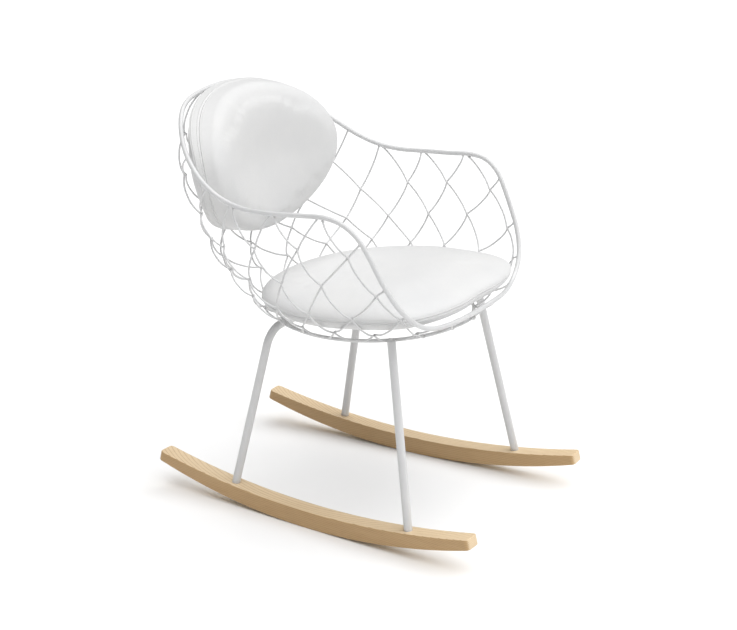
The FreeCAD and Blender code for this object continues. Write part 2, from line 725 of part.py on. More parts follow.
# ------------------------------------------------------------------ seat cushion
SEAT_PLAN = [(0, 221), (20, 233), (36, 250), (48, 261), (60, 255), (72, 247), (90, 239), (110, 231), (130, 226), (150, 223), (165, 221), (180, 220)]


def seat_section(label, scale, lift, inset=0.0):
    """A closed outline of the cushion, in its tilted plane."""
    pts = []
    half_pts = [(t, r) for t, r in SEAT_PLAN]
    full = half_pts + [(360 - t, r) for t, r in half_pts[-2:0:-1]]
    for t, r in full:
        a = math.radians(t)
        x = (r * scale - inset) * math.sin(a)
        y = AXIS_Y - (r * scale - inset) * math.cos(a)
        z = dim("seat_mid") - math.tan(math.radians(dim("seat_tilt"))) * (y - AXIS_Y) + lift
        pts.append((x, y, z))
    f = doc.addObject("Part::Feature", label)
    f.Shape = Part.Wire([smooth_curve(pts, True).toShape()])
    return f


rise, drop = dim("seat_rise"), dim("seat_drop")
# (share of the plan, height above the mid plane, share of the cover's
# thickness taken inwards and upwards by the hollow inside the cover)
levels = []
for rho, i, u in ((0.62, 0.4, 1.0), (0.84, 0.6, 0.9), (0.92, 0.8, 0.7), (0.965, 1.0, 0.5), (0.99, 1.0, 0.3)):
    levels.append((rho, -drop * math.sqrt(1 - rho ** 12), i, u))
levels.append((1.0, 0.0, 1.0, 0.0))
for rho, i, u in ((0.99, 1.0, 0.3), (0.965, 1.0, 0.5), (0.92, 0.8, 0.7), (0.85, 0.6, 0.9), (0.74, 0.5, 1.0), (0.55, 0.4, 1.0)):
    levels.append((rho, rise * math.sqrt(1 - rho ** 3.8), i, -u))
cover = dim("cover_thick")
seat_skin = doc.addObject("Part::Loft", "seat_outside")
seat_skin.Sections = [seat_section("seat_section_%d" % k, s, l) for k, (s, l, i, u) in enumerate(levels)]
seat_skin.Solid = True
seat_skin.Ruled = True
seat_fill = doc.addObject("Part::Loft", "seat_hollow")
seat_fill.Sections = [seat_section("seat_hollow_section_%d" % k, s, l + u * cover, i * cover) for k, (s, l, i, u) in enumerate(levels)]
seat_fill.Solid = True
seat_fill.Ruled = True
seat = doc.addObject("Part::Cut", "seat_cushion")
seat.Base = seat_skin
seat.Tool = seat_fill
keep(seat, "seat_cushion")

# ------------------------------------------------------------------ back cushion
# the back cushion is an oval pad wrapped around the inside of the basket's
# back: radius of its rear face about the basket's axis, by height
BACK_R = [(465, 281), (508, 304), (545, 322), (575, 334), (610, 345), (643, 353.5), (675, 358), (711, 360), (750, 360), (800, 359)]

zc, bh = dim("back_mid"), dim("back_half_tall")
T, E = dim("back_thick"), dim("back_edge_thick")


def back_ring(label, rho, face, inset, flat):
    """A closed ring on the pad's rear (-1) or front (+1) face, at a share rho
    of the way from its middle to its edge."""
    pts = []
    turn = math.radians(dim("back_half_turn")) - inset / 300.0
    crown = math.sqrt(max(0.0, 1 - rho ** 3.8))
    for k in range(32):
        a = 2 * math.pi * k / 32
        u, v = rho * math.cos(a), rho * math.sin(a)
        z = zc + (bh - inset) * v
        r = between(BACK_R, z)
        if face > 0:
            r = r - E - (T - E) * crown + inset
        else:
            r = r - 5.6 * (1 - crown) - 12.0 * abs(u) ** 6 - inset
        pts.append([r * math.sin(turn * u), AXIS_Y + r * math.cos(turn * u), z])
    if flat:
        level = sum(p[1] for p in pts) / len(pts)
        for p in pts:
            p[1] = level
    ring_wire = doc.addObject("Part::Feature", label)
    ring_wire.Shape = Part.Wire([smooth_curve([tuple(p) for p in pts], True).toShape()])
    return ring_wire


def back_pad(label, inset):
    """The pad's outer form, or its hollow inside when set in by the cover."""
    steps = [(-1, 0.15), (-1, 0.45), (-1, 0.7), (-1, 0.87), (-1, 0.96), (-1, 1.0), (1, 1.0), (1, 0.985), (1, 0.95),
             (1, 0.89), (1, 0.8), (1, 0.66), (1, 0.48), (1, 0.3), (1, 0.15)]
    pad = doc.addObject("Part::Loft", label)
    pad.Sections = [back_ring("%s_ring_%d" % (label, k), rho, face, inset, rho == 0.15) for k, (face, rho) in enumerate(steps)]
    pad.Solid = True
    pad.Ruled = True
    return pad


back = doc.addObject("Part::Cut", "back_cushion")
back.Base = back_pad("back_outside", 0.0)
back.Tool = back_pad("back_hollow", cover)
keep(back, "back_cushion")

# ------------------------------------------------------------------ check, write
doc.recompute()
bad = [o.Name for o in doc.Objects if any(w in " ".join(o.State) for w in ("Invalid", "Error"))]
if bad:
    raise RuntimeError("features in error: %s" % bad)
for obj in nodes:
    shape = obj.Shape
    if shape.isNull() or not shape.isValid() or shape.Volume <= 0 or not shape.Solids:
        raise RuntimeError("bad shape: %s valid %s vol %s" % (obj.Label, (not shape.isNull()) and shape.isValid(), None if shape.isNull() else shape.Volume))
for obj in nodes:
    obj.Shape.exportStep(os.path.join("parts", obj.Label + ".step"))
print("nodes written:", len(nodes))
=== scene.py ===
import math

import bmesh
import bpy
import numpy as np
from mathutils import Matrix, Vector
from mathutils.kdtree import KDTree


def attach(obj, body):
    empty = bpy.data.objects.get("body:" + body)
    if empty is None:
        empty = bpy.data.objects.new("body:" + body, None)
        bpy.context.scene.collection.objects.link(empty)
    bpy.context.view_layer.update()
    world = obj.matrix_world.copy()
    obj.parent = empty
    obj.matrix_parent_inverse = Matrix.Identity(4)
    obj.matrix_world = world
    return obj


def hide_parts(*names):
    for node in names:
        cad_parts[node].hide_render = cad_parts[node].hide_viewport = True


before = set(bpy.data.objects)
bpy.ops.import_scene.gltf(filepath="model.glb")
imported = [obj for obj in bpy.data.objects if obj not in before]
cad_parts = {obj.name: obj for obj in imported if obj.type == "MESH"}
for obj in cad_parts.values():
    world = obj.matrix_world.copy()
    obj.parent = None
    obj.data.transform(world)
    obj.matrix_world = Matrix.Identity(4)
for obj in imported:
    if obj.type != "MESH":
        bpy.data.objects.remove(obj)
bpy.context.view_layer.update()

scene = bpy.context.scene
rng = np.random.default_rng(7)
MM = 0.001


# ------------------------------------------------------------------ node helpers
class Nodes:
    """A small helper that adds and links shader nodes."""

    def __init__(self, name):
        self.mat = bpy.data.materials.new(name)
        self.mat.use_nodes = True
        self.t = self.mat.node_tree
        for n in list(self.t.nodes):
            self.t.nodes.remove(n)
        self.out = self.t.nodes.new("ShaderNodeOutputMaterial")
        self.bsdf = self.t.nodes.new("ShaderNodeBsdfPrincipled")
        self.link(self.bsdf.outputs["BSDF"], self.out.inputs["Surface"])

    def link(self, a, b):
        self.t.links.new(a, b)

    def put(self, socket, value):
        if isinstance(value, bpy.types.NodeSocket):
            self.link(value, socket)
        else:
            socket.default_value = value

    def new(self, kind, **inputs):
        n = self.t.nodes.new("ShaderNode" + kind)
        for k, v in inputs.items():
            self.put(n.inputs[k.replace("_", " ")], v)
        return n

    def coords(self, scale=(1, 1, 1), rot=(0, 0, 0)):
        c = self.t.nodes.new("ShaderNodeTexCoord")
        m = self.new("Mapping", Scale=scale, Rotation=rot)
        self.link(c.outputs["Object"], m.inputs["Vector"])
        return m.outputs["Vector"]

    def noise(self, vec, scale, detail=4.0, rough=0.55, distortion=0.0):
        n = self.new("TexNoise", Scale=scale, Detail=detail, Roughness=rough, Distortion=distortion)
        self.link(vec, n.inputs["Vector"])
        return n.outputs["Fac"]

    def math(self, op, a, b=None, c=None, clamp=False):
        n = self.t.nodes.new("ShaderNodeMath")
        n.operation = op
        n.use_clamp = clamp
        self.put(n.inputs[0], a)
        if b is not None:
            self.put(n.inputs[1], b)
        if c is not None:
            self.put(n.inputs[2], c)
        return n.outputs[0]

    def remap(self, v, a, b, c, d, smooth=False):
        n = self.t.nodes.new("ShaderNodeMapRange")
        n.interpolation_type = "SMOOTHSTEP" if smooth else "LINEAR"
        for i, x in enumerate((v, a, b, c, d)):
            self.put(n.inputs[i], x)
        return n.outputs["Result"]

    def ramp(self, v, stops):
        n = self.t.nodes.new("ShaderNodeValToRGB")
        els = n.color_ramp.elements
        while len(els) < len(stops):
            els.new(0.5)
        for e, (p, c) in zip(els, stops):
            e.position = p
            e.color = tuple(c) + (1,) if len(c) == 3 else c
        self.link(v, n.inputs["Fac"])
        return n.outputs["Color"]

    def bump(self, height, strength, distance, normal=None):
        n = self.new("Bump", Strength=strength, Distance=distance)
        self.link(height, n.inputs["Height"])
        if normal is not None:
            self.link(normal, n.inputs["Normal"])
        return n.outputs["Normal"]


def steel_white():
    n = Nodes("white_powder_coat")
    v = n.coords()
    cloud = n.noise(v, 14.0, 3.0)
    n.link(n.ramp(cloud, [(0.3, (0.615, 0.618, 0.622)), (0.7, (0.65, 0.652, 0.653))]), n.bsdf.inputs["Base Color"])
    peel = n.noise(v, 700.0, 2.0, 0.45)
    rough = n.remap(n.noise(v, 120.0, 3.0), 0.3, 0.7, 0.30, 0.40)
    n.link(rough, n.bsdf.inputs["Roughness"])
    n.link(n.bump(peel, 0.08, 0.00006), n.bsdf.inputs["Normal"])
    n.bsdf.inputs["IOR"].default_value = 1.5
    n.bsdf.inputs["Specular IOR Level"].default_value = 0.5
    return n.mat


def leather_white(name="white_leather"):
    n = Nodes(name)
    v = n.coords()
    # pebbles of the grain, each some 0.9 mm across, with finer pores
    vor = n.new("TexVoronoi", Scale=880.0, Randomness=0.95)
    vor.feature = "DISTANCE_TO_EDGE"
    wob = n.new("TexNoise", Scale=300.0, Detail=2.0)
    n.link(v, wob.inputs["Vector"])
    mix = n.new("VectorMath")
    mix.operation = "MULTIPLY_ADD"
    n.link(wob.outputs["Color"], mix.inputs[0])
    mix.inputs[1].default_value = (0.0012, 0.0012, 0.0012)
    n.link(v, mix.inputs[2])
    n.link(mix.outputs[0], vor.inputs["Vector"])
    cell = n.remap(vor.outputs["Distance"], 0.0, 0.22, 0.0, 1.0, True)
    pores = n.noise(v, 2600.0, 3.0, 0.6)
    fine = n.math("MULTIPLY_ADD", pores, 0.35, cell)
    cloud = n.noise(v, 7.0, 4.0, 0.5)
    patch = n.noise(v, 45.0, 3.0, 0.5)
    tone = n.math("MULTIPLY_ADD", patch, 0.25, cloud)
    base = n.ramp(tone, [(0.42, (0.635, 0.637, 0.64)), (0.80, (0.67, 0.669, 0.666))])
    shade = n.new("MixRGB", Fac=0.5)
    shade.blend_type = "MULTIPLY"
    n.link(base, shade.inputs["Color1"])
    n.link(n.ramp(cell, [(0.0, (0.93, 0.93, 0.93)), (0.6, (1, 1, 1))]), shade.inputs["Color2"])
    n.link(shade.outputs["Color"], n.bsdf.inputs["Base Color"])
    n.link(n.remap(n.math("MULTIPLY_ADD", cloud, 0.5, n.math("MULTIPLY", cell, 0.25)), 0.1, 0.7, 0.62, 0.50), n.bsdf.inputs["Roughness"])
    crease = n.noise(v, 60.0, 5.0, 0.6, 0.8)
    b1 = n.bump(crease, 0.05, 0.0008)
    n.link(n.bump(fine, 0.22, 0.00022, b1), n.bsdf.inputs["Normal"])
    n.bsdf.inputs["IOR"].default_value = 1.42
    n.bsdf.inputs["Sheen Weight"].default_value = 0.03
    n.bsdf.inputs["Sheen Roughness"].default_value = 0.5
    return n.mat


def thread_white():
    n = Nodes("sewing_thread")
    v = n.coords(scale=(1, 1, 1), rot=(0.5, 0.3, 0.7))
    twist = n.new("TexWave", Scale=1400.0, Distortion=1.5, Detail=1.0)
    n.link(v, twist.inputs["Vector"])
    n.link(n.ramp(twist.outputs["Fac"], [(0.2, (0.60, 0.60, 0.59)), (0.8, (0.74, 0.74, 0.73))]), n.bsdf.inputs["Base Color"])
    n.link(n.bump(twist.outputs["Fac"], 0.5, 0.0001), n.bsdf.inputs["Normal"])
    n.link(n.remap(n.noise(v, 500.0), 0.3, 0.7, 0.5, 0.65), n.bsdf.inputs["Roughness"])
    return n.mat


def wood_ash(name, pith, tilt, seed):
    """Ash, sawn from beside the pith: rings about an axis that runs nearly
    along the rocker, so the curved top cuts through them in long points."""
    n = Nodes(name)
    tc = n.t.nodes.new("ShaderNodeTexCoord")
    sep = n.new("SeparateXYZ")
    n.link(tc.outputs["Object"], sep.inputs["Vector"])
    x, y, z = sep.outputs["X"], sep.outputs["Y"], sep.outputs["Z"]
    wob_v = n.new("Mapping", Scale=(9.0, 1.6, 9.0), Location=(seed, seed * 0.7, 0))
    n.link(tc.outputs["Object"], wob_v.inputs["Vector"])
    wob = n.noise(wob_v.outputs["Vector"], 1.0, 3.0, 0.5)
    px = n.math("ADD", n.math("SUBTRACT", x, pith[0]), n.math("MULTIPLY", y, tilt[0]))
    pz = n.math("ADD", n.math("SUBTRACT", z, pith[1]), n.math("MULTIPLY", y, tilt[1]))
    # the log is a little oval
    d = n.math("SQRT", n.math("ADD", n.math("MULTIPLY", px, px), n.math("MULTIPLY", n.math("MULTIPLY", pz, pz), 1.35)))
    d = n.math("MULTIPLY_ADD", wob, 0.0042, d)
    ring = n.math("FRACT", n.math("MULTIPLY", d, 1.0 / 0.0034))
    # early wood: a narrow porous dark line, then light late wood
    early = n.math("MAXIMUM", n.remap(ring, 0.0, 0.30, 1.0, 0.0, True), n.remap(ring, 0.90, 1.0, 0.0, 1.0, True))
    fib_v = n.new("Mapping", Scale=(620.0, 11.0, 620.0), Location=(seed, 0, seed))
    n.link(tc.outputs["Object"], fib_v.inputs["Vector"])
    fibre = n.noise(fib_v.outputs["Vector"], 1.0, 3.0, 0.6)
    pore_v = n.new("Mapping", Scale=(1500.0, 60.0, 1500.0))
    n.link(tc.outputs["Object"], pore_v.inputs["Vector"])
    pore = n.remap(n.noise(pore_v.outputs["Vector"], 1.0, 1.0, 0.4), 0.60, 0.70, 0.0, 1.0, True)
    pores = n.math("MULTIPLY", pore, n.remap(early, 0.1, 0.9, 0.12, 1.0))
    broad_v = n.new("Mapping", Scale=(26.0, 2.2, 26.0), Location=(0, seed, 0))
    n.link(tc.outputs["Object"], broad_v.inputs["Vector"])
    broad = n.noise(broad_v.outputs["Vector"], 1.0, 3.0, 0.5)
    tone = n.math("ADD", n.math("MULTIPLY", early, 0.30), n.math("MULTIPLY_ADD", fibre, 0.42, n.math("MULTIPLY", broad, 0.36)))
    col = n.ramp(tone, [(0.20, (0.790, 0.640, 0.440)), (0.45, (0.715, 0.550, 0.350)), (0.70, (0.580, 0.415, 0.240)), (1.0, (0.42, 0.275, 0.14))])
    dark = n.new("MixRGB")
    n.link(n.math("MULTIPLY", pores, 0.45), dark.inputs["Fac"])
    n.link(col, dark.inputs["Color1"])
    dark.inputs["Color2"].default_value = (0.30, 0.185, 0.085, 1)
    # painted shade: the planed flanks are multiplied darker than the top, standing in for the shade that falls on the
    # sides
    nsep = n.new("SeparateXYZ")
    n.link(tc.outputs["Normal"], nsep.inputs["Vector"])
    flank_shade_mask = n.remap(n.math("ABSOLUTE", nsep.outputs["X"]), 0.35, 0.9, 0.0, 1.0, True)
    # painted shade colour multiplied onto the flanks by the flank mask
    side = n.new("MixRGB")
    side.blend_type = "MULTIPLY"
    n.link(flank_shade_mask, side.inputs["Fac"])
    n.link(dark.outputs["Color"], side.inputs["Color1"])
    side.inputs["Color2"].default_value = (0.70, 0.585, 0.43, 1)
    n.link(side.outputs["Color"], n.bsdf.inputs["Base Color"])
    n.link(n.remap(n.math("ADD", early, fibre), 0.2, 1.4, 0.40, 0.56), n.bsdf.inputs["Roughness"])
    h = n.math("SUBTRACT", n.math("MULTIPLY", fibre, 0.5), n.math("ADD", n.math("MULTIPLY", early, 0.35), n.math("MULTIPLY", pores, 0.8)))
    n.link(n.bump(h, 0.22, 0.00025), n.bsdf.inputs["Normal"])
    n.bsdf.inputs["IOR"].default_value = 1.48
    n.bsdf.inputs["Coat Weight"].default_value = 0.12
    n.bsdf.inputs["Coat Roughness"].default_value = 0.35
    return n.mat


def steel_bare():
    n = Nodes("zinc_screw_steel")
    v = n.coords(scale=(1, 1, 14))
    n.bsdf.inputs["Metallic"].default_value = 1.0
    f = n.noise(v, 260.0, 4.0)
    n.link(n.ramp(f, [(0.3, (0.42, 0.42, 0.43)), (0.7, (0.60, 0.60, 0.61))]), n.bsdf.inputs["Base Color"])
    n.link(n.remap(f, 0.3, 0.7, 0.28, 0.42), n.bsdf.inputs["Roughness"])
    n.link(n.bump(f, 0.15, 0.0001), n.bsdf.inputs["Normal"])
    return n.mat


STEEL = steel_white()
LEATHER = leather_white()
THREAD = thread_white()
WOOD_L = wood_ash("ash_left", (0.262, -0.052), (0.020, 0.030), 3.1)
WOOD_R = wood_ash("ash_right", (-0.150, -0.060), (-0.035, -0.022), 8.7)
SCREW = steel_bare()

for name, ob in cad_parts.items():
    if name.startswith("rocker_") and name != "rocker_screws":
        mat = WOOD_L if name.endswith("left") else WOOD_R
    elif name in ("rocker_screws", "leg_plugs"):
        mat = SCREW
    elif name.endswith("cushion"):
        mat = LEATHER
    else:
        mat = STEEL
    ob.data.materials.clear()
    ob.data.materials.append(mat)
    for p in ob.data.polygons:
        p.material_index = 0


# ------------------------------------------------------------------ curves and tables
def smooth_table(xs, ys, x, period=None):
    """Catmull-Rom through a table, closed if period is given."""
    xs, ys, x = np.asarray(xs, float), np.asarray(ys, float), np.asarray(x, float)
    if period:
        x = np.mod(x, period)
        xs = np.r_[xs[-2:] - period, xs, xs[:3] + period]
        ys = np.r_[ys[-2:], ys, ys[:3]]
    m = np.gradient(ys, xs)
    i = np.clip(np.searchsorted(xs, x, side="right") - 1, 0, len(xs) - 2)
    h = xs[i + 1] - xs[i]
    t = np.clip((x - xs[i]) / h, 0, 1)
    return ((2 * t ** 3 - 3 * t ** 2 + 1) * ys[i] + (t ** 3 - 2 * t ** 2 + t) * h * m[i]
            + (-2 * t ** 3 + 3 * t ** 2) * ys[i + 1] + (t ** 3 - t ** 2) * h * m[i + 1])


def value_noise(p, scale, seed):
    """Smooth noise of points p (n,3), about -1 to 1, the same every run."""
    g = np.random.default_rng(seed)
    k = g.normal(size=(10, 3))
    k = k / np.linalg.norm(k, axis=1)[:, None] * (2 * np.pi / scale) * g.uniform(0.6, 1.5, size=(10, 1))
    ph = g.uniform(0, 2 * np.pi, 10)
    return np.sin(p @ k.T + ph).sum(1) / 4.5


# ------------------------------------------------------------------ ring meshes
def ring_mesh(name, rings, caps=True):
    """Closed mesh from rings (m, n, 3) with a fan to a middle point at each end."""
    m, n, _ = rings.shape
    verts = rings.reshape(-1, 3)
    lo, hi = rings[0].mean(0), rings[-1].mean(0)
    verts = np.vstack([verts, lo, hi])
    faces = []
    for i in range(m - 1):
        a, b = i * n, (i + 1) * n
        for j in range(n):
            k = (j + 1) % n
            faces.append((a + j, a + k, b + k, b + j))
    for j in range(n):
        k = (j + 1) % n
        faces.append((m * n, k, j))
        faces.append((m * n + 1, (m - 1) * n + j, (m - 1) * n + k))
    me = bpy.data.meshes.new(name)
    me.from_pydata(verts.tolist(), [], faces)
    bm = bmesh.new()
    bm.from_mesh(me)
    bmesh.ops.recalc_face_normals(bm, faces=bm.faces)
    bm.to_mesh(me)
    bm.free()
    me.update()
    ob = bpy.data.objects.new(name, me)
    scene.collection.objects.link(ob)
    return ob


def coords_of(ob):
    a = np.empty(len(ob.data.vertices) * 3)
    ob.data.vertices.foreach_get("co", a)
    return a.reshape(-1, 3)


def set_coords(ob, co):
    ob.data.vertices.foreach_set("co", co.ravel())
    ob.data.update()


def normals_of(ob):
    a = np.empty(len(ob.data.vertices) * 3)
    ob.data.vertex_normals.foreach_get("vector", a)
    return a.reshape(-1, 3)


def smooth_shade(ob):
    ob.data.polygons.foreach_set("use_smooth", np.ones(len(ob.data.polygons), bool))
    ob.data.update()


def swell(ob, seam_points, cap, pressure=4.0, voxel=0.0055):
    """Blows up a copy of the pad as cloth with its seams held, and returns how
    far each vertex of ob is pushed out (metres)."""
    me = ob.data.copy()
    sim = bpy.data.objects.new(ob.name + "_sim", me)
    scene.collection.objects.link(sim)
    bpy.context.view_layer.objects.active = sim
    rm = sim.modifiers.new("remesh", "REMESH")
    rm.mode = "VOXEL"
    rm.voxel_size = voxel
    deps = bpy.context.evaluated_depsgraph_get()
    new = bpy.data.meshes.new_from_object(sim.evaluated_get(deps))
    sim.modifiers.clear()
    sim.data = new
    base = coords_of(sim)
    base_n = normals_of(sim)
    kd = KDTree(len(seam_points))
    for i, p in enumerate(seam_points):
        kd.insert(p, i)
    kd.balance()
    vg = sim.vertex_groups.new(name="held")
    for i, p in enumerate(base):
        d = kd.find(p)[2]
        w = 1.0 - min(1.0, max(0.0, (d - 0.006) / 0.008))
        if w > 0:
            vg.add([i], w, "REPLACE")
    cl = sim.modifiers.new("cloth", "CLOTH")
    cs = cl.settings
    cs.quality = 4
    cs.mass = 0.3
    cs.tension_stiffness = cs.compression_stiffness = 22
    cs.shear_stiffness = 8
    cs.bending_stiffness = 3.0
    cs.use_pressure = True
    cs.uniform_pressure_force = pressure
    cs.vertex_group_mass = "held"
    cs.effector_weights.gravity = 0
    cl.point_cache.frame_start = 1
    cl.point_cache.frame_end = 20
    for f in range(1, 21):
        scene.frame_set(f)
    deps = bpy.context.evaluated_depsgraph_get()
    ev = sim.evaluated_get(deps)
    end = np.empty(len(ev.data.vertices) * 3)
    ev.data.vertices.foreach_get("co", end)
    move = ((end.reshape(-1, 3) - base) * base_n).sum(1)
    move = np.clip(move, 0.0, cap)
    tree = KDTree(len(base))
    for i, p in enumerate(base):
        tree.insert(p, i)
    tree.balance()
    out = np.zeros(len(ob.data.vertices))
    for i, p in enumerate(coords_of(ob)):
        near = tree.find_n(p, 4)
        w = np.array([1.0 / (d + 0.001) for _, _, d in near])
        out[i] = (move[[k for _, k, _ in near]] * w).sum() / w.sum()
    scene.frame_set(1)
    bpy.data.objects.remove(sim)
    return out


def stitches(name, line, normal, pitch, length, radius):
    """Rounded thread stitches along a closed line (n,3) on a surface."""
    nxt = np.roll(line, -1, 0)
    seg = np.linalg.norm(nxt - line, axis=1)
    s = np.r_[0, np.cumsum(seg)]
    total = s[-1]
    count = int(total // pitch)
    step = total / count
    closed = np.vstack([line, line[:1]])
    nclosed = np.vstack([normal, normal[:1]])
    verts, faces = [], []
    rings, sides = 7, 6
    for c in range(count):
        t = c * step + np.linspace(0, length, rings)
        pos = np.stack([np.interp(t % total, s, closed[:, k]) for k in range(3)], -1)
        nn = np.stack([np.interp(t % total, s, nclosed[:, k]) for k in range(3)], -1)
        nn /= np.linalg.norm(nn, axis=1)[:, None]
        tan = pos[-1] - pos[0]
        tan /= np.linalg.norm(tan)
        b = np.cross(nn, tan)
        u = np.linspace(-1, 1, rings)
        lift = radius * (0.75 - 1.9 * u ** 4)
        rad = radius * np.array([0.55, 0.9, 1, 1, 1, 0.9, 0.55])
        first = len(verts)
        for i in range(rings):
            for k in range(sides):
                a = 2 * math.pi * k / sides
                verts.append(pos[i] + nn[i] * (lift[i] + rad[i] * math.sin(a)) + b[i] * rad[i] * math.cos(a))
        for i in range(rings - 1):
            for k in range(sides):
                q = (k + 1) % sides
                faces.append((first + i * sides + k, first + i * sides + q, first + (i + 1) * sides + q, first + (i + 1) * sides + k))
        faces.append(tuple(first + k for k in reversed(range(sides))))
        faces.append(tuple(first + (rings - 1) * sides + k for k in range(sides)))
    return verts, faces


def mesh_object(name, verts, faces, mat):
    me = bpy.data.meshes.new(name)
    me.from_pydata([tuple(v) for v in verts], [], faces)
    bm = bmesh.new()
    bm.from_mesh(me)
    bmesh.ops.recalc_face_normals(bm, faces=bm.faces)
    bm.to_mesh(me)
    bm.free()
    ob = bpy.data.objects.new(name, me)
    scene.collection.objects.link(ob)
    me.materials.append(mat)
    smooth_shade(ob)
    return ob


def seam_shape(s, along, seed, depth=1.15):
    """Height in mm at a distance s (mm) from a seam: the sunk join, the two
    raised turnings under the leather and the rows of stitch holes."""
    join = -depth * np.exp(-(s / 1.25) ** 2)
    turning = 0.55 * np.exp(-((np.abs(s) - 3.0) / 2.0) ** 2)
    row = -0.45 * np.exp(-((np.abs(s) - 4.6) / 0.9) ** 2)
    g = np.random.default_rng(seed)
    pucker = np.zeros_like(along)
    for _ in range(9):
        w = g.uniform(14, 34)
        pucker += np.sin(2 * np.pi * along / w + g.uniform(0, 6.28)) / 4.0
    gather = 0.10 * pucker * np.exp(-(np.abs(s) / 16.0)) * (1 - np.exp(-(np.abs(s) / 3.0) ** 2))
    return join + turning + row + gather


# ------------------------------------------------------------------ seat cushion
AXIS_Y = -24.2
PLAN = [(0, 225), (20, 240), (36, 258.5), (48, 269), (60, 258.5), (72, 247), (90, 239), (110, 231), (130, 226), (150, 223), (165, 221), (180, 220)]
PLAN_T = [t for t, r in PLAN] + [360 - t for t, r in PLAN[-2:0:-1]]
PLAN_R = [r for t, r in PLAN] + [r for t, r in PLAN[-2:0:-1]]
SEAT_MID, SEAT_TILT, RISE, DROP = 432.2, math.tan(math.radians(4.8)), 35.5, 25.5

near_seam = [0, 0.6, 1.2, 1.8, 2.5, 3.2, 3.9, 4.6, 5.3, 6.2, 7.5, 9.5, 12]
beyond = [15, 19, 24, 30, 37, 45, 54, 64, 75, 87, 100, 114, 129, 145, 162, 180, 198, 214, 226]
SEG = 300


def profile_at(s, pts):
    """Point of a polyline at arc length s."""
    seg = np.r_[0, np.cumsum(np.linalg.norm(np.diff(pts, axis=0), axis=1))]
    return np.stack([np.interp(s, seg, pts[:, 0]), np.interp(s, seg, pts[:, 1])], -1), seg[-1]


def build_seat():
    q = 1 - np.linspace(0, 1, 900) ** 2.2
    top = np.stack([q * 240, RISE * np.sqrt(np.clip(1 - q ** 3.8, 0, 1))], -1)
    low = np.stack([q * 240, -DROP * np.sqrt(np.clip(1 - q ** 9, 0, 1))], -1)
    up = np.array(near_seam + beyond, float)
    rows = []
    for side, pts in ((-1, low), (1, top)):
        pr, total = profile_at(up * 1.0, pts)
        pr = pr[up < total - 8]
        ss = up[up < total - 8]
        for (x, z), s in zip(pr, ss):
            if side < 0 and s == 0:
                continue
            rows.append((side * s, x / 240.0, z))
    rows.sort()
    th = np.linspace(0, 2 * np.pi, SEG, endpoint=False)
    R = smooth_table(PLAN_T, PLAN_R, np.degrees(th), 360)
    rings, S = [], []
    for s, rho, lift in rows:
        r = R * rho - 0.8
        x, y = r * np.sin(th), AXIS_Y - r * np.cos(th)
        z = SEAT_MID - SEAT_TILT * (y - AXIS_Y) + lift
        rings.append(np.stack([x, y, z], -1))
        S.append(s)
    rings = np.array(rings) * MM
    S = np.array(S)
    ob = ring_mesh("seat_pad", rings)
    mid = int(np.argmin(np.abs(S)))
    puff = swell(ob, rings[mid], 0.0045)
    co, nn = coords_of(ob), normals_of(ob)
    m, n = len(S), SEG
    per = np.linalg.norm(np.roll(rings[mid], -1, 0) - rings[mid], axis=1).cumsum() * 1000
    s_all = np.repeat(S, n)
    along = np.tile(per, m)
    h = np.r_[seam_shape(s_all, along, 11), 0, 0] * MM
    # broad unevenness of the stuffing, a shallow dip where people sit
    soft = value_noise(co * 1000, 150.0, 5) * 0.5 + value_noise(co * 1000, 70.0, 6) * 0.12
    fade = np.r_[1 - np.exp(-np.abs(s_all) / 14.0), 1, 1]
    dip = -3.0 * np.exp(-((co[:, 0] * 1000) / 120.0) ** 2 - ((co[:, 1] * 1000 - 10) / 110.0) ** 2) * (nn[:, 2] > 0)
    co = co + nn * (puff * np.r_[fade.min() * 0 + fade[:-2], 1, 1] + h + (soft * fade + dip) * MM)[:, None]
    set_coords(ob, co)
    smooth_shade(ob)
    nn = normals_of(ob)
    lines = []
    for target in (4.6, -4.6):
        k = int(np.argmin(np.abs(S - target)))
        lines.append((co[k * n:(k + 1) * n], nn[k * n:(k + 1) * n]))
    return ob, lines


# ------------------------------------------------------------------ back cushion
BACK = [(465, 281), (508, 304), (545, 322), (575, 334), (610, 345), (643, 353.5), (675, 358), (711, 360), (750, 360), (800, 359)]
ZC, BH, TURN, THICK, EDGE = 649.3, 141.5, math.radians(43.0), 95.5, 50.3


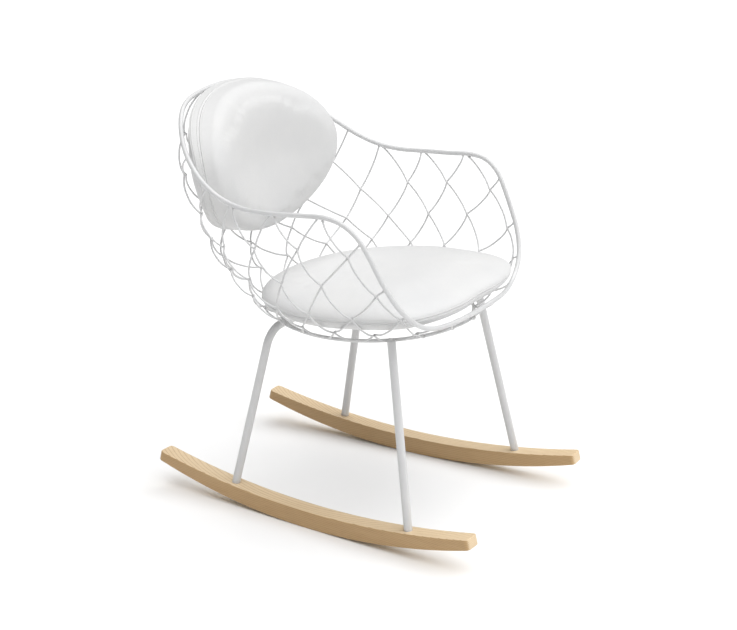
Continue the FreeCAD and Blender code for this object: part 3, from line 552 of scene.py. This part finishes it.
def build_back():
    q = 1 - np.linspace(0, 1, 900) ** 2.2
    L = 200.0
    front = np.stack([q * L, (THICK - EDGE) * np.sqrt(np.clip(1 - q ** 3.8, 0, 1))], -1)
    rear = np.stack([q * L, -5.6 * (np.sqrt(np.clip(1 - q ** 3.8, 0, 1)) - 1)], -1)
    up = np.array(near_seam + beyond, float)
    rows = []  # (order, kind, rho, t across the band)
    pr, total = profile_at(up, front)
    for (x, _), s in zip(pr, up):
        if s < total - 6:
            rows.append((s, "front", x / L, 1.0))
    band = 1.0 - np.array([2.5, 5, 8, 11, 14, 16.5, 18.5, 19.8, 20.7, 21.4, 22.1, 22.8, 23.5, 24.2, 24.8, 25.4, 26, 26.6, 27.2, 27.8, 28.5, 29.2, 29.9, 30.6, 31.3, 32.2, 33.5, 35, 37, 38.6, 39.4, 40.1, 40.8, 41.5, 42.3, 43.1, 43.9]) / 44.7
    for t in band:
        rows.append((-(1 - t) * 44.7, "band", 1.0, t))
    pr, total = profile_at(up, rear)
    for (x, _), s in zip(pr, up):
        if s < total - 6:
            rows.append((-44.7 - s, "rear", x / L, 0.0))
    rows.sort(key=lambda r: r[0])
    a = np.linspace(0, 2 * np.pi, SEG, endpoint=False)
    zs, rs = [z for z, r in BACK], [r for z, r in BACK]
    rings, S = [], []
    for s, kind, rho, t in rows:
        u, v = rho * np.cos(a), rho * np.sin(a)
        z = ZC + (BH - 0.6) * v
        r = smooth_table(zs, rs, z)
        crown = math.sqrt(max(0.0, 1 - rho ** 3.8))
        rear_in = 5.6 * (1 - crown) + 12.0 * np.abs(u) ** 6 + 1.2
        front_in = EDGE + (THICK - EDGE) * crown - 1.2
        if kind == "front":
            d = front_in
        elif kind == "rear":
            d = rear_in
        else:
            # the side band runs straight from the rear face to the front face
            d = rear_in + (front_in - rear_in) * t
        r = r - d
        turn = (TURN - 0.6 / 300) * u
        rings.append(np.stack([r * np.sin(turn), AXIS_Y + r * np.cos(turn), z], -1))
        S.append(s)
    rings = np.array(rings) * MM
    S = np.array(S)
    ob = ring_mesh("back_pad", rings)
    k1, k2 = int(np.argmin(np.abs(S + 26))), int(np.argmin(np.abs(S + 44.7)))
    puff = swell(ob, np.vstack([rings[k1], rings[k2]]), 0.0045)
    co, nn = coords_of(ob), normals_of(ob)
    m, n = len(S), SEG
    per = np.linalg.norm(np.roll(rings[k1], -1, 0) - rings[k1], axis=1).cumsum() * 1000
    s_all = np.repeat(S, n)
    along = np.tile(per, m)
    h = np.r_[seam_shape(s_all + 26, along, 21) + seam_shape(s_all + 44.7, along, 22, 1.2), 0, 0] * MM
    near = np.minimum(np.abs(s_all + 26), np.abs(s_all + 44.7))
    fade = np.r_[1 - np.exp(-near / 14.0), 1, 1]
    soft = value_noise(co * 1000, 150.0, 15) * 0.5 + value_noise(co * 1000, 70.0, 16) * 0.12
    co = co + nn * (puff * fade + h + soft * fade * MM)[:, None]
    set_coords(ob, co)
    smooth_shade(ob)
    nn = normals_of(ob)
    lines = []
    for target in (-26 + 4.6, -26 - 4.6, -44.7 + 4.6, -44.7 - 4.6):
        k = int(np.argmin(np.abs(S - target)))
        lines.append((co[k * n:(k + 1) * n], nn[k * n:(k + 1) * n]))
    return ob, lines


seat_pad, seat_lines = build_seat()
back_pad, back_lines = build_back()
for pad, cad in ((seat_pad, "seat_cushion"), (back_pad, "back_cushion")):
    pad.data.materials.append(LEATHER)
    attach(pad, "root")
    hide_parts(cad)

for name, lines in (("seat_stitching", seat_lines), ("back_stitching", back_lines)):
    verts, faces = [], []
    for line, nn in lines:
        v, f = stitches(name, line, nn, 0.0056, 0.0042, 0.00038)
        base = len(verts)
        verts += v
        faces += [tuple(base + i for i in q) for q in f]
    ob = mesh_object(name, verts, faces, THREAD)
    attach(ob, "root")

# ------------------------------------------------------------------ weld beads
ROWS = {
    -3: {150: (150.0, 368.0, 735.5, 1), 170: (170.0, 369.3, 778.8, 1)},
    -2: {140: (140.0, 355.0, 693.8, 1), 160: (159.5, 374.0, 711.5), 180: (180.0, 366.5, 711.5)},
    -1: {130: (130.9, 333.5, 655.4, 1), 150: (149.0, 363.0, 648.5), 170: (169.5, 362.0, 643.5)},
    0: {80: (81.0, 274.0, 635.5, 1), 100: (101.9, 274.9, 628.2, 1), 120: (119.3, 309.4, 631.5, 1),
        140: (137.4, 334.4, 592.3), 160: (159.0, 341.0, 578.5), 180: (180.0, 341.0, 575.0)},
    1: {70: (69.1, 283.1, 573.8), 90: (90.3, 270.2, 574.1), 110: (109.0, 288.1, 560.6), 130: (128.0, 303.6, 540.2),
        150: (149.0, 317.0, 523.5), 170: (169.5, 315.0, 517.0)},
    2: {60: (59.0, 290.8, 506.2), 80: (79.9, 272.9, 514.7), 100: (98.6, 268.8, 503.1), 120: (116.8, 276.6, 490.0),
        140: (134.5, 283.0, 484.5), 160: (157.0, 301.0, 472.0), 180: (180.0, 295.0, 468.0)},
    3: {50: (50.0, 282.0, 458.5), 70: (69.0, 257.8, 451.4), 90: (88.4, 250.9, 448.3), 110: (105.6, 250.1, 443.8),
        130: (124.0, 255.5, 445.0), 150: (146.5, 245.5, 445.0), 170: (169.0, 243.0, 438.0)},
    4: {0: (0.0, 212.0, 403.5), 20: (20.0, 217.0, 405.0), 40: (40.0, 227.0, 409.0), 60: (60.0, 227.0, 410.0),
        80: (79.0, 222.5, 409.5), 100: (97.0, 221.0, 407.5), 120: (115.0, 220.5, 405.0), 140: (136.0, 220.0, 402.5),
        160: (158.0, 218.0, 400.0), 180: (180.0, 217.0, 399.0)},
}


def bead(verts, faces, centre, axis, radius, height, seed):
    """A lumpy flattened bead, its short axis along axis."""
    g = np.random.default_rng(seed)
    axis = np.asarray(axis, float)
    axis /= np.linalg.norm(axis)
    t = np.cross(axis, (0.3, 0.5, 0.81))
    t /= np.linalg.norm(t)
    b = np.cross(axis, t)
    first = len(verts)
    nu, nv = 12, 6
    ph = g.uniform(0, 6.28, 2)
    for i in range(1, nv):
        e = math.pi * i / nv
        for j in range(nu):
            a = 2 * math.pi * j / nu
            w = 1 + 0.07 * math.sin(2 * a + ph[0]) + 0.05 * math.sin(3 * a + ph[1])
            verts.append(centre + (t * math.cos(a) + b * math.sin(a)) * radius * w * math.sin(e) + axis * height * math.cos(e))
    verts.append(centre + axis * height)
    verts.append(centre - axis * height)
    for i in range(nv - 2):
        for j in range(nu):
            k = (j + 1) % nu
            p, q = first + i * nu, first + (i + 1) * nu
            faces.append((p + j, q + j, q + k, p + k))
    tip, tail = first + (nv - 1) * nu, first + (nv - 1) * nu + 1
    for j in range(nu):
        k = (j + 1) % nu
        faces.append((tip, first + j, first + k))
        faces.append((tail, first + (nv - 2) * nu + k, first + (nv - 2) * nu + j))


verts, faces = [], []
seed = 100
for row, table in ROWS.items():
    for entry in table.values():
        if len(entry) == 4:
            continue
        for side in ((1,) if entry[0] in (0.0, 180.0) else (1, -1)):
            a = math.radians(entry[0])
            p = np.array([side * entry[1] * math.sin(a), AXIS_Y - entry[1] * math.cos(a), entry[2]]) * MM
            nrm = np.array([side * math.sin(a), -math.cos(a), -0.4 if row > 2 else -0.15])
            bead(verts, faces, p, nrm, 0.0027, 0.0017, seed)
            seed += 1


def closest_end(wire, other):
    """Middle of the end of a wire that stands on another rod, and the rod's side."""
    wco, oco = coords_of(wire), coords_of(other)
    kd = KDTree(len(oco))
    for i, p in enumerate(oco):
        kd.insert(p, i)
    kd.balance()
    d = np.array([kd.find(p)[2] for p in wco])
    i = int(np.argmin(d))
    near = wco[np.linalg.norm(wco - wco[i], axis=1) < 0.0036]
    c = near.mean(0)
    o = oco[np.linalg.norm(oco - c, axis=1) < 0.012]
    return c, (o.mean(0) if len(o) else oco[kd.find(c)[1]])


for name, ob in sorted(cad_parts.items()):
    if name.startswith("lattice_wire"):
        for rod, rad in (("rim_tube", 0.0031), ("base_ring", 0.0029)):
            c, o = closest_end(ob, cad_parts[rod])
            d = c - o
            d = d / max(1e-9, np.linalg.norm(d))
            bead(verts, faces, c - d * 0.0006, d, rad, 0.0017, seed)
            seed += 1
beads = mesh_object("weld_beads", verts, faces, STEEL)
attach(beads, "root")

# ------------------------------------------------------------------ floor, lights, camera
floor_me = bpy.data.meshes.new("floor")
w = 14.0
floor_me.from_pydata([(-w, -w, 0), (w, -w, 0), (w, w, 0), (-w, w, 0)], [], [(0, 1, 2, 3)])
floor = bpy.data.objects.new("floor", floor_me)
scene.collection.objects.link(floor)
fl = Nodes("pale_floor")
fv = fl.coords()
fl.link(fl.ramp(fl.noise(fv, 1.2, 3.0), [(0.3, (0.905, 0.905, 0.905)), (0.7, (0.92, 0.92, 0.92))]), fl.bsdf.inputs["Base Color"])
fl.link(fl.remap(fl.noise(fv, 30.0, 3.0), 0.3, 0.7, 0.75, 0.85), fl.bsdf.inputs["Roughness"])
floor_me.materials.append(fl.mat)

world = bpy.data.worlds.new("studio")
scene.world = world
world.use_nodes = True
bg = world.node_tree.nodes["Background"]
bg.inputs["Color"].default_value = (1, 1, 1, 1)
bg.inputs["Strength"].default_value = 0.17


def area(name, loc, target, size, power):
    d = bpy.data.lights.new(name, "AREA")
    d.shape = "RECTANGLE"
    d.size, d.size_y = size
    d.energy = power
    ob = bpy.data.objects.new(name, d)
    ob.location = loc
    ob.rotation_euler = (Vector(target) - Vector(loc)).to_track_quat("-Z", "Y").to_euler()
    scene.collection.objects.link(ob)
    return ob


sun_data = bpy.data.lights.new("overhead", "SUN")
sun_data.energy = 3.95
sun_data.angle = math.radians(95)
sun = bpy.data.objects.new("overhead", sun_data)
sun.rotation_euler = Vector((0.12, -0.31, 1.0)).to_track_quat("Z", "Y").to_euler()
scene.collection.objects.link(sun)
area("left_softbox", (-3.4, 0.9, 1.9), (0, 0, 0.6), (0.5, 2.4), 3)

cam_data = bpy.data.cameras.new("camera")
cam_data.sensor_fit = "HORIZONTAL"
cam_data.sensor_width = 36.0
cam_data.lens = 84.93
cam_data.shift_x = -0.00012
cam_data.shift_y = 0.0007
cam_data.clip_end = 60
cam = bpy.data.objects.new("camera", cam_data)
cam.location = (-2.7172, -1.6740, 1.4902)
look = (Vector((0, -0.0039, 0.3643)) - cam.location).to_track_quat("-Z", "Y")
cam.rotation_euler = look.to_euler()
scene.collection.objects.link(cam)
scene.camera = cam
scene.view_settings.view_transform = "Standard"
scene.frame_set(1)
